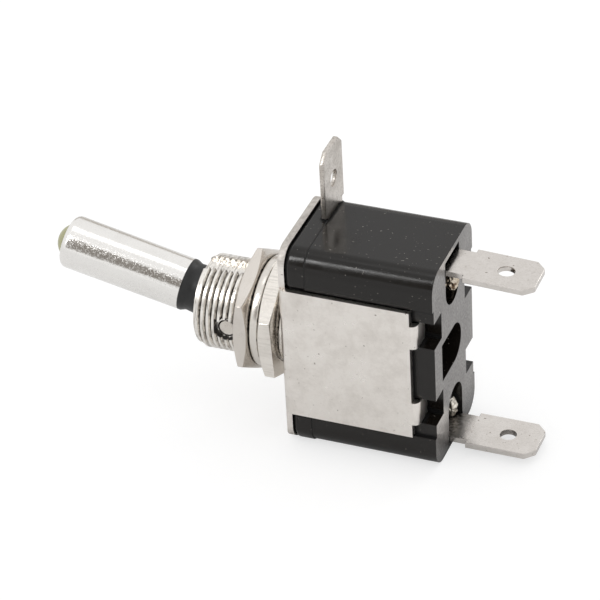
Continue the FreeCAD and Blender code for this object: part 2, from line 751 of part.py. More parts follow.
def make_pivot_pin():
    """A plain steel pin across the bushing, which the lever tilts on."""
    body = new_body("pivot_pin")
    round_end = discs(body, "round", "XZ_Plane", [("0", "0", "pin_radius")])
    pad(body, round_end, f"2 * {PIN_END}", symmetric=True)
    soften(body, "Chamfer", "pin_chamfer", lambda edge: lies_at(edge, y=value(PIN_END)))
    place(body, across="-pivot_back")


def make_lever_stem():
    """The lever's black moulding: a tube inside the sleeve, a collar and a waist, a ball on the
    pivot pin and a hollow tail for the plunger. The lamp's wires have a bore and a groove."""
    body = new_body("lever_stem")
    tube = "sleeve_bore - running_gap"
    ball_front = "sqrt(pow(ball_radius; 2) - pow(root_radius; 2))"
    belt = "sqrt(pow(ball_radius; 2) - pow(ball_belt; 2))"
    ball_rear = "sqrt(pow(ball_radius; 2) - pow(tail_radius; 2))"
    half = [
        (STEM_FRONT, "0"),
        (STEM_FRONT, tube),
        ("-sleeve_start", tube),
        ("-sleeve_start", "sleeve_rear_radius"),
        ("-sleeve_start + collar_width", "sleeve_rear_radius"),
        ("-sleeve_start + neck_inset", "neck_radius"),
        ("-ball_radius", "root_radius"),
        (f"-{ball_front}", "root_radius"),
        ("-ball_belt", belt, "-ball_radius"),
        ("ball_belt", belt),
        (ball_rear, "tail_radius"),
        ("tail_end", "tail_radius"),
        ("tail_end", "0"),
    ]
    turn(body, outline(body, "section", "XZ_Plane", [half]))
    wires = discs(body, "wire_bore", "YZ_Plane", [("0", "0", "wire_bore")], STEM_FRONT)
    pocket(body, wires, f"-{STEM_FRONT} - wire_bore_end", backwards=True)
    bore = discs(body, "plunger_bore", "YZ_Plane", [("0", "0", "plunger_bore")], "plunger_bore_start")
    pocket(body, bore, "tail_end - plunger_bore_start", backwards=True)
    pin = discs(body, "pin_hole", "XZ_Plane", [("0", "0", "pin_radius + running_gap")])
    pocket(body, pin, "3 * ball_radius", symmetric=True)
    groove = rectangle("-wire_bore_end - groove_width", "tail_end", "-groove_width / 2", "groove_width / 2")
    pocket(body, outline(body, "groove", "XY_Plane", [groove], "groove_floor"), "ball_radius", backwards=True)
    place_on_lever(body)


def make_lever_sleeve():
    """The bright plated tube round the lever, slightly wider at its front, where a lip holds
    the lamp."""
    body = new_body("lever_sleeve")
    front = "-sleeve_start - sleeve_length"
    half = [
        ("-sleeve_start", "sleeve_bore"),
        ("-sleeve_start", "sleeve_rear_radius"),
        (front, "sleeve_front_radius"),
        (front, "sleeve_mouth"),
        (f"{front} + sleeve_lip", "lamp_radius + running_gap"),
        (f"{front} + sleeve_lip", "sleeve_bore"),
    ]
    turn(body, outline(body, "section", "XZ_Plane", [half]))
    rim = value("sleeve_front_radius")
    end = value(front)
    soften(body, "Fillet", "sleeve_round",
           lambda edge: abs(edge.BoundBox.ZMax - rim) < 0.01 and abs(edge.BoundBox.XMax - end) < 0.01)
    place_on_lever(body)


def make_lamp():
    """The moulded lamp: a flange, a barrel and a dome that stands out of the sleeve."""
    body = new_body("lamp")
    rear = STEM_FRONT
    flange = "sleeve_bore - running_gap"
    half = [
        (rear, "0"),
        (rear, flange),
        (f"{rear} - lamp_flange_thick", flange),
        (f"{rear} - lamp_flange_thick", "lamp_radius"),
        (f"{rear} - lamp_length + lamp_radius", "lamp_radius", "lamp_radius"),
        (f"{rear} - lamp_length", "0"),
    ]
    turn(body, outline(body, "section", "XZ_Plane", [half]))
    place_on_lever(body)


def make_lead(name, length, side):
    """One square wire of the lamp, straight back into the stem's bore."""
    body = new_body(name)
    low, high = f"{side} * lead_pitch / 2 - lead_size / 2", f"{side} * lead_pitch / 2 + lead_size / 2"
    square = outline(body, "square", "YZ_Plane", [rectangle("-lead_size / 2", "lead_size / 2", low, high)],
                     STEM_FRONT)
    pad(body, square, length)
    place_on_lever(body)


def make_resistor():
    """The small resistor on the lamp's short lead, a dumb-bell with two wire stubs."""
    body = new_body("resistor")
    start = f"{STEM_FRONT} + short_lead"
    end = f"{start} + resistor_length"
    half = [
        (f"{start} - resistor_stub", "0"),
        (f"{start} - resistor_stub", "resistor_wire"),
        (start, "resistor_wire"),
        (start, "resistor_radius"),
        (f"{start} + resistor_cap", "resistor_radius"),
        (f"{start} + resistor_cap", "resistor_waist"),
        (f"{end} - resistor_cap", "resistor_waist"),
        (f"{end} - resistor_cap", "resistor_radius"),
        (end, "resistor_radius"),
        (end, "resistor_wire"),
        (f"{end} + resistor_stub", "resistor_wire"),
        (f"{end} + resistor_stub", "0"),
    ]
    turn(body, outline(body, "section", "XZ_Plane", [half]))
    place(body, across="-pivot_back - resistor_offset * sin(throw_angle)",
          up="-resistor_offset * cos(throw_angle)", turned="throw_angle", axis=ALONG_Y)


def make_plunger():
    """The moulded pin that slides in the lever's tail, with a round tip for the cradle."""
    body = new_body("plunger")
    reach = "(pivot_back + fulcrum_place - seat_gap - rocker_thick - plunger_gap)"
    half = [
        ("plunger_head - spigot_length", "0"),
        ("plunger_head - spigot_length", "spigot_radius"),
        ("plunger_head", "spigot_radius"),
        ("plunger_head", PLUNGER_RADIUS),
        (f"{reach} - {PLUNGER_RADIUS}", PLUNGER_RADIUS, f"-{PLUNGER_RADIUS}"),
        (reach, "0"),
    ]
    turn(body, outline(body, "section", "XZ_Plane", [half]))
    place_on_lever(body)


def make_plunger_spring():
    """The coil behind the plunger, on its spigot, wound from square wire."""
    body = new_body("plunger_spring")
    start, half = "plunger_bore_start + seat_gap", "spring_wire / 2"
    section = rectangle(start, f"{start} + spring_wire", f"spring_radius - {half}", f"spring_radius + {half}")
    wire = outline(body, "wire", "XZ_Plane", [section])
    coil = body.newObject("PartDesign::AdditiveHelix", "coil")
    coil.Profile = wire
    coil.ReferenceAxis = (origin_part(body, "X_Axis"), [""])
    coil.Mode = "height-turns-angle"
    coil.setExpression("Height", bound("plunger_head - plunger_bore_start - spring_wire - 2 * seat_gap"))
    coil.setExpression("Turns", bound("spring_turns"))
    doc.recompute()
    place_on_lever(body)


make_mounting_frame()
make_threaded_bushing()
make_nut("front_nut", "front_nut_rear", "front_nut_turn", True)
make_lock_washer()
make_nut("rear_nut", "front_nut_rear - washer_thick - nut_thick", "rear_nut_turn", False)
make_housing_cover()
make_housing_base()
make_load_terminal()
make_power_terminal()
make_ground_terminal()
UPPER_FACE = "load_blade_height - blade_thick / 2"
LOWER_FACE = "-power_blade_depth + blade_thick / 2"
make_solder_joint("upper_solder_joint", "upper_solder", f"{SLOT_FLOOR} + seat_gap",
                  f"{UPPER_FACE} - upper_solder_height", UPPER_FACE)
make_solder_joint("lower_solder_joint", "lower_solder", f"{SLOT_FLOOR} + lower_solder_inset",
                  LOWER_FACE, f"{LOWER_FACE} + lower_solder_height")
make_fixed_contact()
make_rocker_contact()
make_moving_contact()
make_pivot_pin()
make_lever_stem()
make_lever_sleeve()
make_lamp()
make_lead("long_lamp_lead", "long_lead", 1)
make_lead("short_lamp_lead", "short_lead", -1)
make_resistor()
make_plunger()
make_plunger_spring()
doc.recompute()

failed = [item.Name for item in doc.Objects if "Invalid" in item.State or "Error" in item.State]
if failed:
    raise RuntimeError(f"failed objects: {failed}")
pieces = doc.findObjects("PartDesign::Body")
for piece in pieces:
    if piece.Shape.isNull() or not piece.Shape.isValid() or len(piece.Shape.Solids) != 1:
        raise RuntimeError(f"{piece.Label} is not one sound solid")
os.makedirs("parts", exist_ok=True)
for piece in pieces:
    piece.Shape.exportStep(f"parts/{piece.Label}.step")
    box = piece.Shape.BoundBox
    spans = f"X {box.XMin:.2f} {box.XMax:.2f} Y {box.YMin:.2f} {box.YMax:.2f} Z {box.ZMin:.2f} {box.ZMax:.2f}"
    print(f"{piece.Label}: {piece.Shape.Volume:.1f} mm3, {spans}")
print(f"{len(pieces)} pieces written")
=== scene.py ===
import bpy
import math
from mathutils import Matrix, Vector


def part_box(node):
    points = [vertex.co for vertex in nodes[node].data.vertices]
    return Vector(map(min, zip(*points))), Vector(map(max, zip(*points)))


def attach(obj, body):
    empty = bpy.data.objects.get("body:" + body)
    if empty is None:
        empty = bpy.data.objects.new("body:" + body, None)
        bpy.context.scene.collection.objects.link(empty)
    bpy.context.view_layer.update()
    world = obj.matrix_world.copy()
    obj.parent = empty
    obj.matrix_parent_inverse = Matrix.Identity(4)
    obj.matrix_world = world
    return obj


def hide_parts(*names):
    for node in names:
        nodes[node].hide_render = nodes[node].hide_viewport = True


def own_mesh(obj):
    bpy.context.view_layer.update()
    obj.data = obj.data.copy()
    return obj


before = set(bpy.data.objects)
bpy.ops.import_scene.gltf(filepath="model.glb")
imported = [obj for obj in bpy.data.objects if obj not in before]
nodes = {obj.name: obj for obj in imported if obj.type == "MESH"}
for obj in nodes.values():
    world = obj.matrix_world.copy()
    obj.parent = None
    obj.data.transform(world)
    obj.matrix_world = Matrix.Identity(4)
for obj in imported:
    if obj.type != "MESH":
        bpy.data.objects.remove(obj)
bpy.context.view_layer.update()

# Camera: a long lens above the near rear corner, as in the photograph. Its place, turn and
# focal length come from fitting the drawn sizes to the photograph's edges.
MM = 0.001
CAMERA_PLACE = Vector((132.3, -293.32, 225.11)) * MM
CAMERA_TURN = [math.radians(angle) for angle in (54.998, 2.684, 21.126)]
CAMERA_LENS = 188.37
SENSOR_WIDTH = 36
NEAREST_SEEN = 10
scene = bpy.context.scene
camera = bpy.data.objects.new("camera", bpy.data.cameras.new("camera"))
camera.location = CAMERA_PLACE
camera.rotation_euler = CAMERA_TURN
camera.data.lens = CAMERA_LENS
camera.data.sensor_width = SENSOR_WIDTH
camera.data.clip_start = NEAREST_SEEN * MM
scene.collection.objects.link(camera)
scene.camera = camera
scene.view_settings.view_transform = "Standard"

# Light: a white studio with three square lamps. Metal shows the studio itself, so the world
# is white to the camera and in reflections, and lights plain surfaces a little less.
WORLD_SEEN = 1.0
WORLD_LIGHT = 0.95


def linear(hex_colour):
    """An sRGB colour written as hex, as linear RGBA."""
    parts = [int(hex_colour[k:k + 2], 16) / 255 for k in (1, 3, 5)]
    return [p / 12.92 if p <= 0.04045 else ((p + 0.055) / 1.055) ** 2.4 for p in parts] + [1]


def add(tree, kind, inputs=(), **settings):
    """Add a node to a tree. Inputs map a socket's name or number to a value or to another socket."""
    made = tree.nodes.new(kind)
    for key, setting in settings.items():
        setattr(made, key, setting)
    for key, given in dict(inputs).items():
        if isinstance(given, bpy.types.NodeSocket):
            tree.links.new(given, made.inputs[key])
        else:
            made.inputs[key].default_value = given
    return made


world = bpy.data.worlds.new("studio")
world.use_nodes = True
world.node_tree.nodes.clear()
scene.world = world
rays = add(world.node_tree, "ShaderNodeLightPath")
seen = add(world.node_tree, "ShaderNodeMath",
           {0: rays.outputs["Is Camera Ray"], 1: rays.outputs["Is Glossy Ray"]}, operation="MAXIMUM")
seen = add(world.node_tree, "ShaderNodeMath",
           {0: seen.outputs[0], 1: rays.outputs["Is Transmission Ray"]}, operation="MAXIMUM")
plain = add(world.node_tree, "ShaderNodeBackground",
            {"Color": linear("#ffffff"), "Strength": WORLD_LIGHT})
bright = add(world.node_tree, "ShaderNodeBackground",
             {"Color": linear("#ffffff"), "Strength": WORLD_SEEN})
mixed = add(world.node_tree, "ShaderNodeMixShader",
            {0: seen.outputs[0], 1: plain.outputs[0], 2: bright.outputs[0]})
add(world.node_tree, "ShaderNodeOutputWorld", {"Surface": mixed.outputs[0]})


def soft_light(name, place, side, power):
    """A square lamp at a place in millimetres, turned to the switch."""
    lamp = bpy.data.objects.new(name, bpy.data.lights.new(name, "AREA"))
    lamp.data.size = side * MM
    lamp.data.energy = power
    lamp.location = Vector(place) * MM
    lamp.rotation_euler = (-Vector(place)).to_track_quat("-Z", "Y").to_euler()
    scene.collection.objects.link(lamp)


soft_light("key_light", (-240, -340, 240), 110, 0.046)
soft_light("top_light", (-65, 25, 495), 120, 0.052)
soft_light("back_light", (168, 373, 286), 110, 0.12)

# Floor: white paper just under the frame's lower edge, on which the switch lies. Its matt
# face takes the switch's shadow, and to the camera it glows a little, so that it looks white.
FLOOR_SIDE = 4.0
FLOOR_GAP = 0.02
PAPER_GLOW = 0.66
FLOOR_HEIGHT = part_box("mounting_frame")[0][2] - FLOOR_GAP * MM


def new_material(name):
    """An empty material with its output node."""
    material = bpy.data.materials.new(name)
    material.use_nodes = True
    material.node_tree.nodes.clear()
    return material, material.node_tree, add(material.node_tree, "ShaderNodeOutputMaterial")


def wear(piece, material):
    """Give a piece one material."""
    piece.data.materials.clear()
    piece.data.materials.append(material)


bpy.ops.mesh.primitive_plane_add(size=FLOOR_SIDE, location=(0, 0, FLOOR_HEIGHT))
floor = bpy.context.object
floor.name = "floor"
paper, tree, out = new_material("white_paper")
rays = add(tree, "ShaderNodeLightPath")
matt = add(tree, "ShaderNodeBsdfDiffuse", {"Color": linear("#f2f2f2")})
faint = add(tree, "ShaderNodeBsdfDiffuse", {"Color": linear("#a8a8a8")})
glow = add(tree, "ShaderNodeEmission", {"Color": linear("#ffffff"), "Strength": PAPER_GLOW})
lifted = add(tree, "ShaderNodeAddShader", {0: faint.outputs[0], 1: glow.outputs[0]})
paper_look = add(tree, "ShaderNodeMixShader",
                 {0: rays.outputs["Is Camera Ray"], 1: matt.outputs[0], 2: lifted.outputs[0]})
tree.links.new(paper_look.outputs[0], out.inputs["Surface"])
wear(floor, paper)


# Cards: the unlit side of the studio, a bright window pane in front of it, and the dimmer
# far edge of the paper. Only reflections see them: bright round metal shows them as stripes,
# and the pane gives the plastic's long corner its glossy streak.
def reflected_card(name, place, width, height, colour, glow=1.0):
    """A glowing card at a place in millimetres, turned to the switch."""
    bpy.ops.mesh.primitive_plane_add(size=1, location=Vector(place) * MM)
    card = bpy.context.object
    card.name = name
    card.scale = (width * MM, height * MM, 1)
    card.rotation_euler = Vector(place).to_track_quat("Z", "Y").to_euler()
    card.visible_camera = False
    card.visible_diffuse = False
    card.visible_shadow = False
    card.visible_transmission = False
    glowing, tree, out = new_material(name)
    shade = add(tree, "ShaderNodeEmission", {"Color": linear(colour), "Strength": glow})
    tree.links.new(shade.outputs[0], out.inputs["Surface"])
    wear(card, glowing)


reflected_card("dark_card", (-70, -600, 380), 330, 500, "#8b8680")
reflected_card("window_pane", (-158, -288, 350), 40, 150, "#ffffff", glow=18)
reflected_card("far_card", (-80, 900, 120), 1400, 320, "#c4bfb9")

# Steel frame: 0.9 mm strip, blanked, nickel plated, bent round the housing and crimped over
# its rear edge. Its broad faces are satin with faint handling stains, and the sheared edges
# of its front plate are a little duller.
PLATE_THICK = 0.9
FRAME_EDGE = 0.1

# The solids come as loose triangles. A piece is welded, its flat faces are joined, and it is
# shaded smooth except across edges that bend by more than SMOOTH_UNDER.
WELD_GAP = 0.001
FLAT_UNDER = math.radians(0.3)
SMOOTH_UNDER = math.radians(32)
ROUND_OVER = math.radians(35)
smooth_tree = bpy.data.node_groups.new("smooth_below_angle", "GeometryNodeTree")
smooth_tree.interface.new_socket("Geometry", in_out="INPUT", socket_type="NodeSocketGeometry")
smooth_tree.interface.new_socket("Geometry", in_out="OUTPUT", socket_type="NodeSocketGeometry")
entry = add(smooth_tree, "NodeGroupInput")
rounded = add(smooth_tree, "GeometryNodeSetShadeSmooth",
              {"Geometry": entry.outputs[0], "Shade Smooth": True}, domain="FACE")
bend = add(smooth_tree, "GeometryNodeInputMeshEdgeAngle")
sharp = add(smooth_tree, "FunctionNodeCompare",
            {0: bend.outputs[0], 1: SMOOTH_UNDER}, operation="GREATER_THAN")
creased = add(smooth_tree, "GeometryNodeSetShadeSmooth",
              {"Geometry": rounded.outputs[0], "Selection": sharp.outputs[0], "Shade Smooth": False},
              domain="EDGE")
add(smooth_tree, "NodeGroupOutput", {0: creased.outputs[0]})


def ease(piece, width=0.0):
    """Weld a piece's loose triangles, round its sharp edges by a width in millimetres, and
    shade it smooth except across what stays sharp."""
    weld = piece.modifiers.new("weld", "WELD")
    weld.merge_threshold = WELD_GAP * MM
    flat = piece.modifiers.new("flat", "DECIMATE")
    flat.decimate_type = "DISSOLVE"
    flat.angle_limit = FLAT_UNDER
    if width:
        bevel = piece.modifiers.new("eased", "BEVEL")
        bevel.width = width * MM
        bevel.segments = 2
        bevel.limit_method = "ANGLE"
        bevel.angle_limit = ROUND_OVER
    smooth = piece.modifiers.new("smooth", "NODES")
    smooth.node_group = smooth_tree
    even = piece.modifiers.new("even", "WEIGHTED_NORMAL")
    even.keep_sharp = True


# Patterns in millimetres. Handling stains are about as wide as drawn. Thin spots in a plate
# are under 0.2 mm and its grain a few hundredths, and both are drawn coarser so that they show.
STAIN_SIZE = 3
SPECK_SIZE = 0.5


def plated_metal(name, colour, roughness, stain="#9a9186", stain_share=0.3, pale="#f2efea",
                 pale_share=0.25, grain=0.003, grain_size=0.25, stretch=(1, 1, 1), scored=0.0,
                 pits=0.0, specks=0.0, painted_shade=0.9, reach=0.8, dull_and_shade_before=None, fade=0.01,
                 dull_and_shade_colour="#b5b0aa"):
    """Plate over steel or brass: a warm pale grey metal with cloudy stains, paler rubbed patches,
    brown specks where the plate is thin, and painted shade, near black, within reach, in
    millimetres, of its crevices. Its grain has a depth and a size in millimetres. Stretch below 1
    draws the grain out along that axis, scored darkens its valleys, and pits roughen them. Where X
    in metres is less than a given place, faces that look up or down take a given colour, which fades
    out over so many millimetres behind that place: a duller colour on sheared edges, and painted
    shade with a painted dark reflection at a blade's root."""
    material, tree, out = new_material(name)
    where = add(tree, "ShaderNodeTexCoord").outputs["Object"]
    # Noise lies mostly between 0.3 and 0.7, and each range below picks its hills or hollows.
    clouds = add(tree, "ShaderNodeTexNoise",
                 {"Vector": where, "Scale": 1 / (STAIN_SIZE * MM), "Detail": 8, "Roughness": 0.75})
    stained = add(tree, "ShaderNodeMapRange",
                  {0: clouds.outputs[0], 1: 0.46, 2: 0.75, 3: 0.0, 4: stain_share})
    rubbed = add(tree, "ShaderNodeMapRange",
                 {0: clouds.outputs[0], 1: 0.5, 2: 0.3, 3: 0.0, 4: pale_share})
    tint = add(tree, "ShaderNodeMix",
               {0: stained.outputs[0], 6: linear(colour), 7: linear(stain)}, data_type="RGBA")
    tint = add(tree, "ShaderNodeMix",
               {0: rubbed.outputs[0], 6: tint.outputs[2], 7: linear(pale)}, data_type="RGBA")
    patchy = add(tree, "ShaderNodeTexNoise",
                 {"Vector": where, "Scale": 1 / (SPECK_SIZE * MM), "Detail": 3})
    spots = add(tree, "ShaderNodeMapRange",
                {0: patchy.outputs[0], 1: 0.68, 2: 0.74, 3: 0.0, 4: specks})
    tint = add(tree, "ShaderNodeMix",
               {0: spots.outputs[0], 6: tint.outputs[2], 7: linear("#4f3b2a")}, data_type="RGBA")
    dull_and_shade_mask = None
    # Faces that look up or down, ahead of a given place, take a given colour: a duller one for sheared
    # edges, and a near black one as painted shade and a painted dark reflection at a blade's root.
    if dull_and_shade_before is not None:
        place = add(tree, "ShaderNodeSeparateXYZ", {0: where})
        ahead = add(tree, "ShaderNodeMapRange",
                    {0: place.outputs[0], 1: dull_and_shade_before, 2: dull_and_shade_before + fade * MM, 3: 1.0, 4: 0.0})
        facing = add(tree, "ShaderNodeSeparateXYZ",
                     {0: add(tree, "ShaderNodeNewGeometry").outputs["True Normal"]})
        upright = add(tree, "ShaderNodeMath", {0: facing.outputs[2]}, operation="ABSOLUTE")
        sideways = add(tree, "ShaderNodeMapRange",
                       {0: upright.outputs[0], 1: 0.15, 2: 0.5, 3: 0.0, 4: 1.0})
        torn = add(tree, "ShaderNodeMapRange",
                   {0: patchy.outputs[0], 1: 0.35, 2: 0.65, 3: 0.95, 4: 0.55})
        dull_and_shade_mask = add(tree, "ShaderNodeMath",
                     {0: ahead.outputs[0], 1: sideways.outputs[0]}, operation="MULTIPLY")
        dull_and_shade_mask = add(tree, "ShaderNodeMath",
                     {0: dull_and_shade_mask.outputs[0], 1: torn.outputs[0]}, operation="MULTIPLY")
        tint = add(tree, "ShaderNodeMix",
                   {0: dull_and_shade_mask.outputs[0], 6: tint.outputs[2], 7: linear(dull_and_shade_colour)}, data_type="RGBA")
    # Painted shade: where the AO finds little open sky near a crevice, the colour goes towards near black.
    open_sky = add(tree, "ShaderNodeAmbientOcclusion", {"Distance": reach * MM}, samples=8)
    broken = add(tree, "ShaderNodeMath",
                 {0: open_sky.outputs["AO"], 1: patchy.outputs[0], 2: 0.1}, operation="MULTIPLY_ADD")
    crevice = add(tree, "ShaderNodeMapRange",
                  {0: broken.outputs[0], 1: 0.22, 2: 0.34, 3: painted_shade, 4: 0.0})
    tint = add(tree, "ShaderNodeMix",
               {0: crevice.outputs[0], 6: tint.outputs[2], 7: linear("#15110e")}, data_type="RGBA")
    drawn = add(tree, "ShaderNodeVectorMath", {0: where, 1: stretch}, operation="MULTIPLY")
    fine = add(tree, "ShaderNodeTexNoise",
               {"Vector": drawn.outputs[0], "Scale": 1 / (grain_size * MM), "Detail": 4})
    valleys = add(tree, "ShaderNodeMapRange",
                  {0: fine.outputs[0], 1: 0.5, 2: 0.62, 3: 0.0, 4: scored})
    tint = add(tree, "ShaderNodeMix",
               {0: valleys.outputs[0], 6: tint.outputs[2], 7: linear(stain)}, data_type="RGBA")
    rough = add(tree, "ShaderNodeMapRange",
                {0: clouds.outputs[0], 1: 0.3, 2: 0.7, 3: roughness * 0.85, 4: roughness * 1.2})
    pitted = add(tree, "ShaderNodeMapRange",
                 {0: fine.outputs[0], 1: 0.5, 2: 0.6, 3: 0.0, 4: pits})
    rough = add(tree, "ShaderNodeMath",
                {0: rough.outputs[0], 1: pitted.outputs[0]}, operation="ADD")
    if dull_and_shade_mask:
        rough = add(tree, "ShaderNodeMath",
                    {0: dull_and_shade_mask.outputs[0], 1: 0.3, 2: rough.outputs[0]}, operation="MULTIPLY_ADD")
    bump = add(tree, "ShaderNodeBump",
               {"Height": fine.outputs[0], "Strength": 1.0, "Distance": grain * MM})
    metal = add(tree, "ShaderNodeBsdfPrincipled",
                {"Base Color": tint.outputs[2], "Metallic": 1.0, "Roughness": rough.outputs[0],
                 "Normal": bump.outputs[0]})
    tree.links.new(metal.outputs[0], out.inputs["Surface"])
    return material


# Nickel over cold-rolled strip: a satin grey that shows its surroundings as soft patches.
plate_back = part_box("mounting_frame")[0][0] + PLATE_THICK * MM
nickel_strip = plated_metal("nickel_plated_strip", "#e6e1db", 0.3, specks=0.7,
                            dull_and_shade_before=plate_back)
wear(nodes["mounting_frame"], nickel_strip)
ease(nodes["mounting_frame"], FRAME_EDGE)

# Housing: two shells moulded in black phenolic. They meet at a seam, where the ground blade
# is trapped, and the frame's crimped tabs clamp them together.
HOUSING_EDGE = 0.15

# Moulded phenolic: nearly black and slightly matt, with a soft streak of light on its rounded
# edges and painted shade in its recesses. Its rear face is lifted to a grey-brown with a soft
# sheen, partly as dust and partly as painted light, less so towards its foot. The heights between
# which this lift gets fainter, and the sizes, are in millimetres. The filler's grit and the dust
# are a few hundredths wide, and are drawn coarser so that they show.
DUST_AND_LIGHT_FAINT = -13
DUST_AND_LIGHT_FULL = -9
DUST_AND_LIGHT_SHEEN = 0.55
RECESS_REACH = 0.7
GRIT_SIZE = 0.3
GRIT_DEPTH = 0.008
DUST_SIZE = 0.35
BLOTCH_SIZE = 3
black, tree, out = new_material("black_moulded_plastic")
where = add(tree, "ShaderNodeTexCoord").outputs["Object"]
grit = add(tree, "ShaderNodeTexNoise", {"Vector": where, "Scale": 1 / (GRIT_SIZE * MM), "Detail": 3})
blotch = add(tree, "ShaderNodeTexNoise",
             {"Vector": where, "Scale": 1 / (BLOTCH_SIZE * MM), "Detail": 3})
rough = add(tree, "ShaderNodeMapRange", {0: blotch.outputs[0], 1: 0.35, 2: 0.7, 3: 0.15, 4: 0.28})
dust = add(tree, "ShaderNodeTexNoise", {"Vector": where, "Scale": 1 / (DUST_SIZE * MM), "Detail": 1})
speck = add(tree, "ShaderNodeMapRange", {0: dust.outputs[0], 1: 0.73, 2: 0.77, 3: 0.0, 4: 0.6})
facing = add(tree, "ShaderNodeSeparateXYZ",
             {0: add(tree, "ShaderNodeNewGeometry").outputs["True Normal"]})
# Painted light and dust: faces that look to the rear are lifted to grey-brown, less towards the foot.
rear = add(tree, "ShaderNodeMapRange", {0: facing.outputs[0], 1: 0.8, 2: 0.95, 3: 0.0, 4: 1.0})
height = add(tree, "ShaderNodeSeparateXYZ", {0: where})
lower = add(tree, "ShaderNodeMapRange",
            {0: height.outputs[2], 1: DUST_AND_LIGHT_FAINT * MM, 2: DUST_AND_LIGHT_FULL * MM, 3: 0.3, 4: 1.0})
patch = add(tree, "ShaderNodeMapRange", {0: blotch.outputs[0], 1: 0.3, 2: 0.6, 3: 1.0, 4: 0.85})
dusty = add(tree, "ShaderNodeMapRange", {0: grit.outputs[0], 1: 0.35, 2: 0.65, 3: 0.7, 4: 1.15})
shaded = add(tree, "ShaderNodeMath",
             {0: lower.outputs[0], 1: patch.outputs[0]}, operation="MULTIPLY")
shaded = add(tree, "ShaderNodeMath",
             {0: shaded.outputs[0], 1: dusty.outputs[0]}, operation="MULTIPLY")
rear_dust_and_light = add(tree, "ShaderNodeMath", {0: rear.outputs[0], 1: shaded.outputs[0]}, operation="MULTIPLY")
sheen = add(tree, "ShaderNodeMath", {0: rear_dust_and_light.outputs[0], 1: DUST_AND_LIGHT_SHEEN}, operation="MULTIPLY")
skin = add(tree, "ShaderNodeMix",
           {0: rear_dust_and_light.outputs[0], 6: linear("#14110e"), 7: linear("#453c34")}, data_type="RGBA")
tint = add(tree, "ShaderNodeMix",
           {0: speck.outputs[0], 6: skin.outputs[2], 7: linear("#8f8b84")}, data_type="RGBA")
# Painted shade: recesses, where the AO finds little open sky, darken towards black.
open_sky = add(tree, "ShaderNodeAmbientOcclusion", {"Distance": RECESS_REACH * MM}, samples=8)
crevice = add(tree, "ShaderNodeMapRange",
              {0: open_sky.outputs["AO"], 1: 0.72, 2: 0.95, 3: 1.0, 4: 0.0})
tint = add(tree, "ShaderNodeMix",
           {0: crevice.outputs[0], 6: tint.outputs[2], 7: linear("#040404")}, data_type="RGBA")
rough = add(tree, "ShaderNodeMath",
            {0: rough.outputs[0], 1: crevice.outputs[0]}, operation="MAXIMUM")
bump = add(tree, "ShaderNodeBump",
           {"Height": grit.outputs[0], "Strength": 0.5, "Distance": GRIT_DEPTH * MM})
plastic = add(tree, "ShaderNodeBsdfPrincipled",
              {"Base Color": tint.outputs[2], "Roughness": rough.outputs[0],
               "Specular IOR Level": 0.35, "Normal": bump.outputs[0],
               "Sheen Weight": sheen.outputs[0], "Sheen Roughness": 0.4})
tree.links.new(plastic.outputs[0], out.inputs["Surface"])
for name in ("housing_cover", "housing_base"):
    wear(nodes[name], black)
    ease(nodes[name], HOUSING_EDGE)

# Bushing: turned brass, nickel plated, with a flange that is staked behind the front plate.
# Its 12 mm fine thread is cut from the plain cylinder by a helical groove, as on a lathe.

# Sizes in millimetres. The groove starts behind a plain lip, and its cutter stands a little
# proud of the cylinder, so that no skin is left on it.
PITCH = 0.75
THREAD_DEPTH = 0.42
THREAD_RADIUS = 5.95
LIP = 0.68
PROUD = 0.06
THREAD_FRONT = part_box("threaded_bushing")[0][0] / MM + LIP
THREAD_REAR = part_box("mounting_frame")[0][0] / MM
STEPS_A_TURN = 96
MERGE_GAP = 0.0001

# Nickel over turned brass: bright, with dark turning lines round it. The real lines are a few
# hundredths of a millimetre wide, and are drawn coarser so that they show.
brass = plated_metal("nickel_plated_brass", "#ece8e2", 0.25, stain="#5f554b", stain_share=0.15,
                     grain=0.012, grain_size=0.2, stretch=(1, 0.12, 0.12), scored=0.45, painted_shade=0.75,
                     reach=0.4)
groove = bpy.data.node_groups.new("thread_groove", "GeometryNodeTree")
for label in ("Pitch", "Depth", "Radius", "Front", "Rear"):
    groove.interface.new_socket(label, in_out="INPUT", socket_type="NodeSocketFloat")
groove.interface.new_socket("Geometry", in_out="OUTPUT", socket_type="NodeSocketGeometry")
entry = add(groove, "NodeGroupInput")
run = add(groove, "ShaderNodeMath",
          {0: entry.outputs["Rear"], 1: entry.outputs["Front"]}, operation="SUBTRACT")
turns = add(groove, "ShaderNodeMath",
            {0: run.outputs[0], 1: entry.outputs["Pitch"]}, operation="DIVIDE")
reach = add(groove, "ShaderNodeMath", {0: entry.outputs["Depth"], 1: PROUD}, operation="ADD")
outside = add(groove, "ShaderNodeMath", {0: entry.outputs["Radius"], 1: PROUD}, operation="ADD")
helix = add(groove, "GeometryNodeCurveSpiral",
            {"Resolution": STEPS_A_TURN, "Rotations": turns.outputs[0],
             "Start Radius": outside.outputs[0], "End Radius": outside.outputs[0],
             "Height": run.outputs[0]})
upright = add(groove, "GeometryNodeSetCurveNormal", {"Curve": helix.outputs[0]}, mode="Z_UP")
half = add(groove, "ShaderNodeMath", {0: reach.outputs[0], 1: 0.5}, operation="MULTIPLY")
other_half = add(groove, "ShaderNodeMath", {0: half.outputs[0], 1: -1.0}, operation="MULTIPLY")
root = add(groove, "ShaderNodeCombineXYZ", {0: reach.outputs[0]})
left = add(groove, "ShaderNodeCombineXYZ", {1: half.outputs[0]})
right = add(groove, "ShaderNodeCombineXYZ", {1: other_half.outputs[0]})
profile = add(groove, "GeometryNodeCurvePrimitiveQuadrilateral",
              {"Point 1": root.outputs[0], "Point 2": left.outputs[0], "Point 3": right.outputs[0],
               "Point 4": right.outputs[0]}, mode="POINTS")
